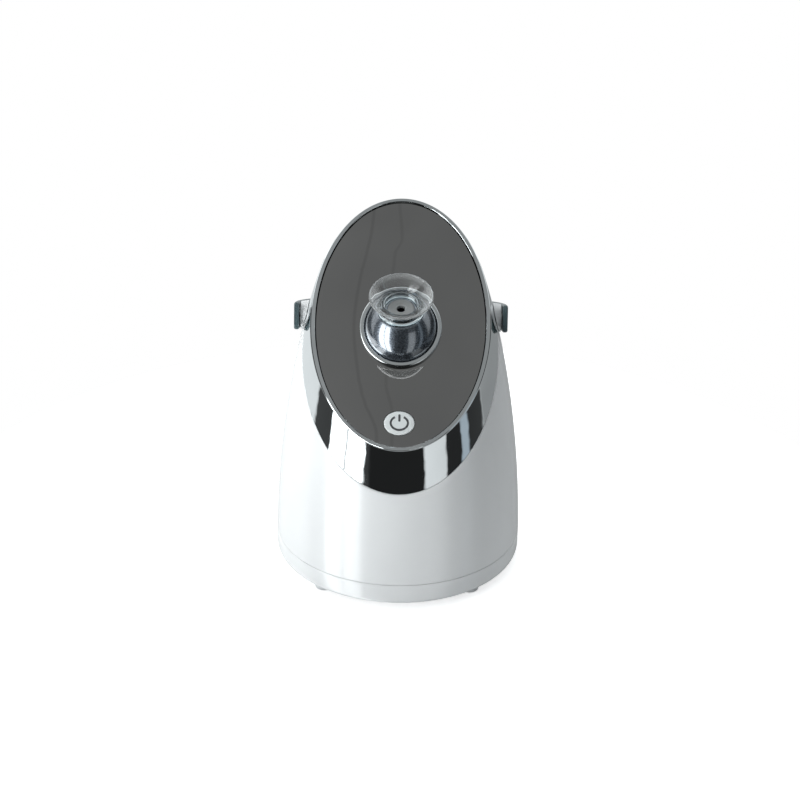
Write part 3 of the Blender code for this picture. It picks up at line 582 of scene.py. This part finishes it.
def slab(size, centre, r, steps=3):
    """A block with its four long edges rounded, along Y."""
    hx, hz = size[0] / 2, size[2] / 2
    outline = rounded([(-hx, -hz, r), (hx, -hz, r), (hx, hz, r), (-hx, hz, r)], steps=steps)
    y0, y1 = centre[1] - size[1] / 2, centre[1] + size[1] / 2
    return skin([[(centre[0] + x, y0, centre[2] + z) for x, z in outline],
                 [(centre[0] + x, y1, centre[2] + z) for x, z in outline]])


# ---------------------------------------------------------------- casing

def tank_form(grow, z0, z1, back_grow, corner, arc_steps=40):
    """The tank's shape, grown or shrunk: flat in front, the body's curve behind, four rounded corners."""
    rows = []
    front = TANK_FRONT - grow
    turn = [math.radians(a) for a in range(0, 91, 10)]
    levels = [(z0 + corner * (1 - math.cos(a)), corner * (1 - math.sin(a))) for a in turn]
    levels += [(z0 + (z1 - z0) * k / 10, 0.0) for k in range(2, 9)]
    levels += [(z1 - corner * (1 - math.cos(a)), corner * (1 - math.sin(a))) for a in reversed(turn)]
    for z, pulled in levels:
        half_w = TANK_X + grow - pulled
        radius = body_radius(z) + back_grow
        edge = math.asin(half_w / radius)
        row = [(-half_w, front, z), (0, front, z), (half_w, front, z)]
        for i in range(arc_steps + 1):
            t = edge * (1 - 2 * i / arc_steps)
            row.append((radius * math.sin(t), radius * math.cos(t), z))
        rows.append(row)
    return skin(rows)


def make_shell():
    """White outer wall: rounded slanted edge, tank window, inlet window and pivot holes."""
    top = [cut_height(t, SHELL_SLOPE, SHELL_Z) for t in ANGLES]
    base = SEAM_Z + GAP
    edge = 0.7 * MM
    rows = [[body_point(t, base, inset) for t in ANGLES] for inset in (WALL, 0.25 * MM)]
    steps = 30
    for k in range(steps + 1):
        share = k / steps
        rows.append([body_point(t, base + 0.2 * MM + (h - edge - base - 0.2 * MM) * share)
                     for t, h in zip(ANGLES, top)])
    for deg in (22.5, 45, 67.5, 90):
        a = math.radians(deg)
        drop, inset = edge * (1 - math.sin(a)), edge * (1 - math.cos(a))
        rows.append([body_point(t, h - drop, inset) for t, h in zip(ANGLES, top)])
    rows.append([body_point(t, h, WALL) for t, h in zip(ANGLES, top)])
    shell = finish_mesh("white_outer_shell", skin(rows, closed_rows=True))
    room = 0.5 * MM
    window = tank_form(room, TANK_Z0 - room, TANK_Z1 + room, 8 * MM, 6.5 * MM)
    cutters = [finish_mesh("c", window),
               finish_mesh("c", slab((21 * MM, 20 * MM, 13 * MM), (0, 78 * MM, INLET_Z), 1.5 * MM))]
    for side in (-1, 1):
        spot = Matrix.Translation((side * 58 * MM, HINGE_Y, HINGE_Z)) @ Matrix.Rotation(math.pi / 2, 4, "Y")
        cutters.append(cutter_rod(PIVOT_R, -10 * MM, 10 * MM, 32, spot))
    piece(carve(shell, *cutters), "housing", "white", "outer_shell")


def face_ring(side, end, depth):
    """The face's outline in the face frame, moved in by side at its sides and by end at its ends."""
    inverse = FACE.inverted()
    local = [inverse @ p for p in RIM]
    half_w = max(p.x for p in local)
    half_l = max(p.y for p in local)
    return [Vector((p.x * (1 - side / half_w), p.y * (1 - end / half_l), -depth)) for p in local]


def lip_edge(grow=0.0, depth=0.0):
    return face_ring(LIP_SIDE + grow, LIP_END + grow, depth)


def make_head():
    """Chrome band and lip in one skin, the outer and inner lip edges slightly broken."""
    low = [cut_height(t, SHELL_SLOPE, SHELL_Z) + GAP for t in ANGLES]
    high = [cut_height(t, FACE_SLOPE, FACE_Z) for t in ANGLES]
    rows = [[body_point(t, a, inset) for t, a in zip(ANGLES, low)] for inset in (WALL, 0.3 * MM)]
    steps = 16
    brk = 0.5 * MM
    for k in range(steps + 1):
        share = k / steps
        rows.append([body_point(t, a + 0.2 * MM + (b - brk - a - 0.2 * MM) * share)
                     for t, a, b in zip(ANGLES, low, high)])
    # Bevel round the lip's outer edge, the flat, and the lip's inner edge and wall
    rings = [face_ring(0.1 * MM, 0.03 * MM, 0.3 * MM), face_ring(0.55 * MM, 0.2 * MM, 0.0),
             lip_edge(-0.1 * MM, 0.0), lip_edge(0.0, 0.08 * MM), lip_edge(0.0, RECESS)]
    rows += [[FACE @ p for p in ring] for ring in rings]
    head = finish_mesh("chrome_head", skin(rows, closed_rows=True), 12.0)
    piece(head, "housing", "chrome", "chrome_head_shell")


def make_panel():
    """Smoked mirror with a polished bevel at its rim and its two holes."""
    rows = [lip_edge(4.4 * MM, RECESS + 2.2 * MM), lip_edge(0.35 * MM, RECESS + 0.5 * MM),
            lip_edge(0.3 * MM, RECESS + 0.35 * MM), lip_edge(0.6 * MM, RECESS)]
    panel = finish_mesh("mirror_panel", skin([[tuple(p) for p in row] for row in rows]))
    hole = cutter_rod(COLLAR_R - 1.2 * MM, -30 * MM, 20 * MM, 96, Matrix.Translation((0, NOZZLE_U, 0)))
    slot = finish_mesh("c", prism(ellipse(BUTTON_A + GAP, BUTTON_B + GAP, 96), -30 * MM, 20 * MM))
    place(slot, Matrix.Translation((0, BUTTON_U, 0)))
    carve(panel, hole, slot)
    place(panel, FACE)
    piece(panel, "housing", "mirror", "front_panel")


def make_base():
    rim_r = body_radius(SEAM_Z)
    turn_r = rim_r - BASE_EDGE_R
    profile = [(0.3 * MM, FOOT_H), (BASE_EDGE_R - 6 * MM, FOOT_H), (BASE_EDGE_R - 1.0 * MM, FOOT_H)]
    profile += [(BASE_EDGE_R, FOOT_H + 0.02 * MM)]
    profile += arc(turn_r, -80, 0, 12, BASE_EDGE_R, FOOT_H + turn_r)
    profile += [(rim_r, 14 * MM), (rim_r, SEAM_Z - 0.35 * MM), (rim_r - 0.1 * MM, SEAM_Z - 0.1 * MM),
                (rim_r - 0.35 * MM, SEAM_Z), (rim_r - WALL, SEAM_Z), (rim_r - WALL, FOOT_H + 2.4 * MM),
                (0.3 * MM, FOOT_H + 2.4 * MM)]
    base = finish_mesh("white_base", turned(profile, AROUND))
    cutters = [cutter_rod(6.3 * MM, 0, FOOT_H + MM, 48, foot_frame(angle)) for angle in FEET.values()]
    piece(carve(base, *cutters), "housing", "white", "base_pan")
    pad = in_mm((0.2, 0.5), (2.6, 0.5), (3.2, 0.0), (4.9, 0.0)) + arc(0.9 * MM, -70, 0, 4, 5.1 * MM, 0.9 * MM)
    pad += in_mm((6.0, 4.7), (0.2, 4.7))
    for name, angle in FEET.items():
        foot = place(finish_mesh("rubber_foot_" + name, turned(pad, 48)), foot_frame(angle))
        piece(foot, "housing", "rubber", "foot_" + name)


# ---------------------------------------------------------------- nozzle

def make_collar():
    shoulder = -RECESS + GAP
    pts = [(COLLAR_R, shoulder, 0.0), (COLLAR_R, COLLAR_TOP, 0.7 * MM), (COLLAR_BORE, COLLAR_TOP, 0.6 * MM),
           (COLLAR_NECK_R, -1.6 * MM, 0.2 * MM), (COLLAR_NECK_R, -COLLAR_DEPTH, 0.0),
           (COLLAR_R - 1.5 * MM, -COLLAR_DEPTH, 0.0), (COLLAR_R - 1.5 * MM, shoulder, 0.0)]
    ring = finish_mesh("collar_ring", turned(rounded(pts, steps=6), 144, hollow=True))
    place(ring, FACE @ Matrix.Translation((0, NOZZLE_U, 0)))
    piece(ring, "housing", "chrome", "nozzle_collar")


def make_nozzle():
    """Ball with a flat seat, groove and spigot, the outlet disc, and the flared clear cup on the seat."""
    limb = arc(BALL_R, -58, 49, 42)
    tip = rounded([limb[-1] + (0.0,), (14.5 * MM, SEAT_H, 0.15 * MM), (GROOVE_R1, SEAT_H, 0.15 * MM),
                   (GROOVE_R1, GROOVE_H, 0.0), (GROOVE_R0, GROOVE_H, 0.0), (GROOVE_R0, SPIGOT_H, 0.25 * MM),
                   (BORE_R, SPIGOT_H, 0.2 * MM), (BORE_R, BORE_FLOOR, 0.0)], closed=False)[1:]
    profile = [(4.5 * MM, limb[0][1])] + limb + tip + [(4.5 * MM, BORE_FLOOR)]
    ball = place(finish_mesh("flake_ball", turned(profile, 128, hollow=True)), NOZZLE)
    piece(ball, "nozzle", "ball", "nozzle_ball")

    disc = rounded(in_mm((8.0, 16.5, 0.0), (8.0, 18.7, 0.35), (4.6, 18.7, 0.3), (4.1, 18.5, 0.3),
                         (2.6, 18.6, 0.3), (2.6, 16.5, 0.0)))
    disc = place(finish_mesh("outlet_disc", turned(disc, 72, hollow=True)), NOZZLE)
    piece(disc, "nozzle", "insert", "outlet_insert")

    foot = SEAT_H + GAP
    outer = [(14.3 * MM, foot + 0.95 * MM), (14.0 * MM, foot + 1.35 * MM)]
    outer += in_mm((12.5, 20.0), (11.7, 21.5), (12.3, 24.1), (15.4, 26.7), (18.5, 28.4), (19.5, 29.1))
    inner = in_mm((18.5, 29.5), (17.4, 29.0), (14.6, 27.7), (11.2, 25.2), (10.1, 23.2), (9.9, 21.0))
    lip = in_mm((19.6, 29.35), (19.5, 29.6), (19.1, 29.7))
    edge = [(14.1 * MM, foot), (14.3 * MM, foot + 0.2 * MM)]
    skirt = [(9.9 * MM, GROOVE_H + 0.5 * MM), (10.1 * MM, GROOVE_H + GAP), (11.2 * MM, GROOVE_H + GAP),
             (11.4 * MM, GROOVE_H + 0.5 * MM), (11.4 * MM, foot)]
    profile = edge + spline(outer, 5) + lip + spline(inner, 5) + skirt
    cup = place(finish_mesh("clear_cup", turned(profile, 128, hollow=True), 50.0), NOZZLE)
    piece(cup, "cup", "clear", "diffuser_cup")


def make_button():
    top = -RECESS + 0.5 * MM
    bottom = -RECESS - 1.4 * MM
    edge = 0.6 * MM
    rows = [[(x, y, bottom) for x, y in ellipse(BUTTON_A, BUTTON_B, 96)]]
    for deg in (0, 22.5, 45, 67.5, 90):
        a = math.radians(deg)
        d = edge * (1 - math.cos(a))
        z = top - edge * (1 - math.sin(a))
        rows.append([(x, y, z - 0.1 * MM) for x, y in ellipse(BUTTON_A - d, BUTTON_B - d, 96)])
    for share in (0.8, 0.6, 0.4, 0.2):
        crown = 0.1 * MM * (1 - share ** 2)
        inner = ellipse((BUTTON_A - edge) * share, (BUTTON_B - edge) * share, 96)
        rows.append([(x, y, top - 0.1 * MM + crown) for x, y in inner])
    cap = place(finish_mesh("button_cap", skin(rows)), BUTTON)
    piece(cap, "power_button", "button", "power_button")

    # Power mark: a broken oval ring and a bar, raised by a hair
    high = top + 0.06 * MM
    low = top - 0.25 * MM
    a, b = 5.2 * MM, 4.25 * MM
    w = 0.62 * MM
    start, stop, steps = 121.0, 419.0, 72
    rows = []
    for i in range(steps + 1):
        t = math.radians(start + (stop - start) * i / steps)
        c, s = math.cos(t), math.sin(t)
        rows.append([((a - w) * c, (b - w) * s, low), ((a + w) * c, (b + w) * s, low),
                     ((a + w) * c, (b + w) * s, high), ((a - w) * c, (b - w) * s, high)])
    ring = place(finish_mesh("mark_ring", skin(rows)), BUTTON)
    piece(ring, "power_button", "button", look="mark")
    outline = rounded(in_mm((-0.65, 0.9, 0.5), (0.65, 0.9, 0.5), (0.65, 5.4, 0.5), (-0.65, 5.4, 0.5)),
                      steps=5)
    bar = place(finish_mesh("mark_bar", prism(outline, low, high)), BUTTON)
    piece(bar, "power_button", "button", look="mark")


# ---------------------------------------------------------------- handle

def bail_rows():
    """Sections of the bail along its half oval, with the corners of its two ends rounded."""
    c = BAIL_T / 2
    nose = 9
    mids = [(BAIL_W - c, -BAIL_NOSE + BAIL_NOSE * k / nose) for k in range(nose)]
    steps = 112
    for i in range(steps + 1):
        t = math.pi * i / steps
        mids.append(((BAIL_W - c) * math.cos(t), (BAIL_REACH - c) * math.sin(t)))
    mids += [(c - BAIL_W, -BAIL_NOSE * (k + 1) / nose) for k in range(nose)]
    section = rounded([(c, -BAIL_H / 2, 1.1 * MM), (c, BAIL_H / 2, 1.1 * MM), (-c, BAIL_H / 2, 1.1 * MM),
                       (-c, -BAIL_H / 2, 1.1 * MM)], steps=5)
    last = len(mids) - 1
    corner = 3.0 * MM
    rows = []
    stations = []
    for i, (x, y) in enumerate(mids):
        along = Vector(mids[min(i + 1, last)]) - Vector(mids[max(i - 1, 0)])
        out = Vector((along.y, -along.x)).normalized()
        stations.append((Vector((x, y)), out))
    for i, (mid, out) in enumerate(stations):
        near = min((mid - stations[0][0]).length, (mid - stations[-1][0]).length)
        drop = 0.0
        if near < corner:
            drop = corner - math.sqrt(max(corner ** 2 - (corner - near) ** 2, 0.0))
        drop = min(drop, 2.6 * MM)
        scale = (BAIL_H / 2 - drop) / (BAIL_H / 2)
        thin = 0.9 if i in (0, last) else 1.0
        rows.append([(mid.x + out.x * a * thin, mid.y + out.y * a * thin, b * scale)
                     for a, b in section])
    return rows


def make_handle():
    """The bail, and on each side the cone it hangs on and the cap over its pivot."""
    bail = finish_mesh("bail_handle", skin(bail_rows()), 40.0)
    place(bail, HANDLE)
    cutters = [cutter_rod(CAP_R + GAP, 50 * MM, 80 * MM, 48, axle_frame(side)) for side in (1, -1)]
    piece(carve(bail, *cutters), "handle", "grip", "handle")
    wall = body_radius(HINGE_Z)
    face = BAIL_W - BAIL_T - 2 * GAP
    heights = [HINGE_Z + d * MM for d in range(-14, 15, 2)]
    for side, name in ((1, "right"), (-1, "left")):
        axle = axle_frame(side)
        cone = rounded([(PIVOT_R, wall - 5 * MM, 0.0), (10.0 * MM, wall - 5 * MM, 0.0),
                        (8.8 * MM, face, 0.4 * MM), (PIVOT_R, face, 0.1 * MM)])
        boss = place(finish_mesh("pivot_boss_" + name, turned(cone, 96, hollow=True)), axle)
        form = finish_mesh("c", turned([(body_radius(z) + GAP, z) for z in heights], AROUND))
        piece(carve(boss, form), "housing", "white", "pivot_washer_" + name)
        cap = rounded([(0.1 * MM, BAIL_W - 1.0 * MM, 0), (CAP_R, BAIL_W - 1.0 * MM, 0),
                       (CAP_R, BAIL_W, 0.4 * MM), (2.2 * MM, BAIL_W - 0.05 * MM, 0.2 * MM),
                       (1.8 * MM, BAIL_W - 0.35 * MM, 0.2 * MM),
                       (0.1 * MM, BAIL_W - 0.35 * MM, 0)], closed=False)
        cover = place(finish_mesh("hub_cap_" + name, turned(cap, 48)), axle)
        piece(cover, "handle", "grip", "pivot_cap_" + name)


# ---------------------------------------------------------------- back

def make_tank():
    """Tank wall, cap recess, and the grip rib with rounded edges."""
    tank = finish_mesh("tank_body", tank_form(0.0, TANK_Z0, TANK_Z1, 0.0, 6.0 * MM))
    room = finish_mesh("c", tank_form(-TANK_WALL, TANK_Z0 + TANK_WALL, TANK_Z1 - 6.8 * MM, -TANK_WALL,
                                      4.0 * MM))
    spot = Matrix.Translation((0, FILLER_Y, TANK_Z1))
    recess = cutter_rod(12.3 * MM, -4.6 * MM, 2 * MM, 64, spot)
    neck = cutter_rod(9.4 * MM, -12 * MM, 2 * MM, 64, spot)
    port = cutter_rod(4.4 * MM, -6 * MM, 6 * MM, 32,
                      Matrix.Translation((0, TANK_FRONT, PORT_Z)) @ Matrix.Rotation(math.pi / 2, 4, "X"))
    piece(carve(tank, room, recess, neck, port), "tank", "tank", "water_tank")

    cap = rounded(in_mm((0.1, -8.0, 0), (8.9, -8.0, 0.6), (9.1, -4.3, 0.2), (12.0, -4.3, 0.3),
                        (12.0, -0.4, 0.8), (8.5, -0.4, 0.4), (7.8, -1.2, 0.4), (0.1, -1.2, 0)), closed=False)
    plug = place(finish_mesh("tank_plug", turned(cap, 72)), spot)
    piece(plug, "tank_cap", "silicone", "tank_cap")

    # Grip rib: (height in mm, share of its reach), fading out over the last two degrees at each end
    rows = []
    levels = ((0.0, 0.6), (0.5, 0.75), (1.5, 0.93), (3.0, 1.0), (4.6, 0.98), (5.5, 0.86), (6.0, 0.7))
    sweep = [GRIP_HALF - 2 * GRIP_HALF * i / 32 for i in range(33)]
    for dz, out in levels:
        z = GRIP_Z + dz * MM
        near = body_radius(z) + GAP
        row = []
        for degrees in sweep:
            t = math.radians(degrees)
            fade = min(1.0, (GRIP_HALF - abs(math.degrees(t))) / 2.0)
            reach = GRIP_OUT * out * (0.45 + 0.55 * math.sqrt(max(1 - (1 - fade) ** 2, 0.0)))
            far = body_radius(z) + reach
            row.append((far * math.sin(t), far * math.cos(t), z))
        for degrees in reversed(sweep):
            t = math.radians(degrees)
            row.append((near * math.sin(t), near * math.cos(t), z))
        rows.append(row)
    piece(finish_mesh("tank_pull", skin(rows), 40.0), "tank", "tank", "tank_grip")


def make_inlet():
    """Inlet body with its stadium mouth; the pins are the CAD's own."""
    back = body_radius(INLET_Z)
    block = slab((19.6 * MM, 17 * MM, 11.6 * MM), (0, back - 8.2 * MM, INLET_Z), 1.2 * MM)
    shell = finish_mesh("inlet_shell", block)
    mouth = finish_mesh("c", slab((15.2 * MM, 20 * MM, 7.6 * MM), (0, back - 0.4 * MM, INLET_Z), 3.6 * MM, 8))
    piece(carve(shell, mouth), "housing", "black", "power_inlet")


for build in (make_shell, make_head, make_panel, make_base, make_collar, make_nozzle, make_button,
              make_handle, make_tank, make_inlet):
    build()

# Every CAD node that still shows gets its slot's material
slots = {s["node"]: s["material_slot"] for s in frame["record"]["subparts"]}
for name, obj in nodes.items():
    if obj.hide_render:
        continue
    for k in range(len(obj.material_slots)):
        obj.material_slots[k].material = MATS[slots[name]]
    if not obj.material_slots:
        obj.data.materials.append(MATS[slots[name]])


# ---------------------------------------------------------------- studio

def make_floor():
    """White sweep. It glows a little, for the camera only, and mirrors see the studio through it."""
    floor = finish_mesh("floor", prism(ellipse(0.34, 0.34, 96), -0.004, -0.0002))
    made, g, sh = new_material("floor_white", Roughness=0.9)
    g.link(tint(g, g.noise(3.0, 2.0), (0.93, 0.93, 0.93), (0.94, 0.94, 0.94)), sh.inputs["Base Color"])
    sh.inputs["Emission Color"].default_value = (1.0, 1.0, 1.0, 1.0)
    rays = g.node("ShaderNodeLightPath")
    g.link(g.math("MULTIPLY", rays.outputs["Is Camera Ray"], 0.6), sh.inputs["Emission Strength"])
    gone = g.node("ShaderNodeBsdfTransparent")
    swap = g.node("ShaderNodeMixShader")
    g.link(rays.outputs["Is Glossy Ray"], swap.inputs[0])
    g.link(sh.outputs[0], swap.inputs[1])
    g.link(gone.outputs[0], swap.inputs[2])
    g.link(swap.outputs[0], g.tree.nodes["Material Output"].inputs[0])
    floor.data.materials.append(made)


def by_azimuth(g, azimuth, levels):
    """A ramp round the horizon. levels: (degrees from the front, level)."""
    return g.ramp(g.math("ADD", azimuth, 0.5), [(0.5 + degrees / 360, level) for degrees, level in levels])


def make_world():
    """Studio round the object: bright left, dimmer right, dark in front between narrow lights."""
    world = bpy.data.worlds.new("studio")
    bpy.context.scene.world = world
    world.use_nodes = True
    g = Graph(world.node_tree)
    axes = g.node("ShaderNodeSeparateXYZ")
    g.link(g.node("ShaderNodeTexCoord").outputs["Generated"], axes.inputs[0])
    x, y, z = axes.outputs
    # Azimuth in turns: 0 straight in front (-Y), negative to the left (-X)
    azimuth = g.math("DIVIDE", g.math("ARCTAN2", x, g.math("MULTIPLY", y, -1.0)), 2 * math.pi)
    blue = (0.38, 0.43, 0.48)
    side = by_azimuth(g, azimuth, [
        (-180, 0.66), (-150, 0.86), (-93.5, 0.84), (-91.5, 0.06), (-71.5, 0.05), (-69, STRIP), (-54, STRIP),
        (-52.8, 0.5), (-50.8, 0.5), (-49.5, STRIP), (-35, STRIP), (-33.5, 0.03), (-30, 0.05), (-27, 0.015),
        (24, 0.015), (26, 0.80), (46, 0.70), (47.5, 0.02), (62, 0.02), (63.5, blue), (71, blue), (72.5, 0.03),
        (91, 0.04), (93.5, 0.62), (150, 0.62), (180, 0.66)])
    # On the right the field is dimmer below the horizon, and the front light there is not tall
    right = by_azimuth(g, azimuth, [(92, 0), (94, 1), (165, 1), (175, 0)])
    fade = g.math("SUBTRACT", 1.0, g.math("MULTIPLY", right, g.soft(z, -0.2, 0.1, 0.55, 0.0)))
    front = by_azimuth(g, azimuth, [(24, 0), (26, 1), (46, 1), (47, 0)])
    stop = g.math("SUBTRACT", 1.0, g.math("MULTIPLY", front, g.soft(z, 0.14, 0.24, 0.0, 0.9)))
    shaped = g.node("ShaderNodeVectorMath", operation="SCALE")
    g.link(side, shaped.inputs[0])
    g.link(g.math("MULTIPLY", fade, stop), shaped.inputs["Scale"])
    side = shaped.outputs[0]
    # Higher up the strips give way to a plain overhead field, brighter to the rear and to the left.
    # The dark gaps at the sides reach higher than the strips.
    leftward = g.math("MAXIMUM", g.math("MULTIPLY", x, -0.75), 0.0)
    over = g.math("ADD", g.soft(y, -0.15, 0.35, 0.27, 1.3), leftward)
    blend = g.node("ShaderNodeMix", data_type="RGBA")
    tall = by_azimuth(g, azimuth, [(-97, 0), (-93, 1), (-73, 1), (-69, 0),
                                   (60, 0), (63, 1), (92, 1), (96, 0)])
    height = g.math("SUBTRACT", z, g.math("MULTIPLY", tall, 0.35))
    g.link(g.soft(height, 0.35, 0.72, 0.0, 1.0), blend.inputs["Factor"])
    g.link(side, blend.inputs[6])
    g.link(over, blend.inputs[7])
    cool = g.node("ShaderNodeMix", data_type="RGBA", blend_type="MULTIPLY")
    cool.inputs["Factor"].default_value = 1.0
    g.link(blend.outputs[2], cool.inputs[6])
    cool.inputs[7].default_value = (0.965, 1.0, 1.01, 1.0)
    studio = g.node("ShaderNodeBackground")
    g.link(cool.outputs[2], studio.inputs["Color"])
    studio.inputs["Strength"].default_value = 1.05
    plain = g.node("ShaderNodeBackground")
    plain.inputs["Color"].default_value = (1.0, 1.0, 1.0, 1.0)
    plain.inputs["Strength"].default_value = 1.0
    seen = g.node("ShaderNodeLightPath")
    mix = g.node("ShaderNodeMixShader")
    g.link(seen.outputs["Is Camera Ray"], mix.inputs[0])
    g.link(studio.outputs[0], mix.inputs[1])
    g.link(plain.outputs[0], mix.inputs[2])
    out = g.node("ShaderNodeOutputWorld")
    g.link(mix.outputs[0], out.inputs[0])


make_floor()
make_world()
bpy.context.scene.view_settings.view_transform = "Standard"
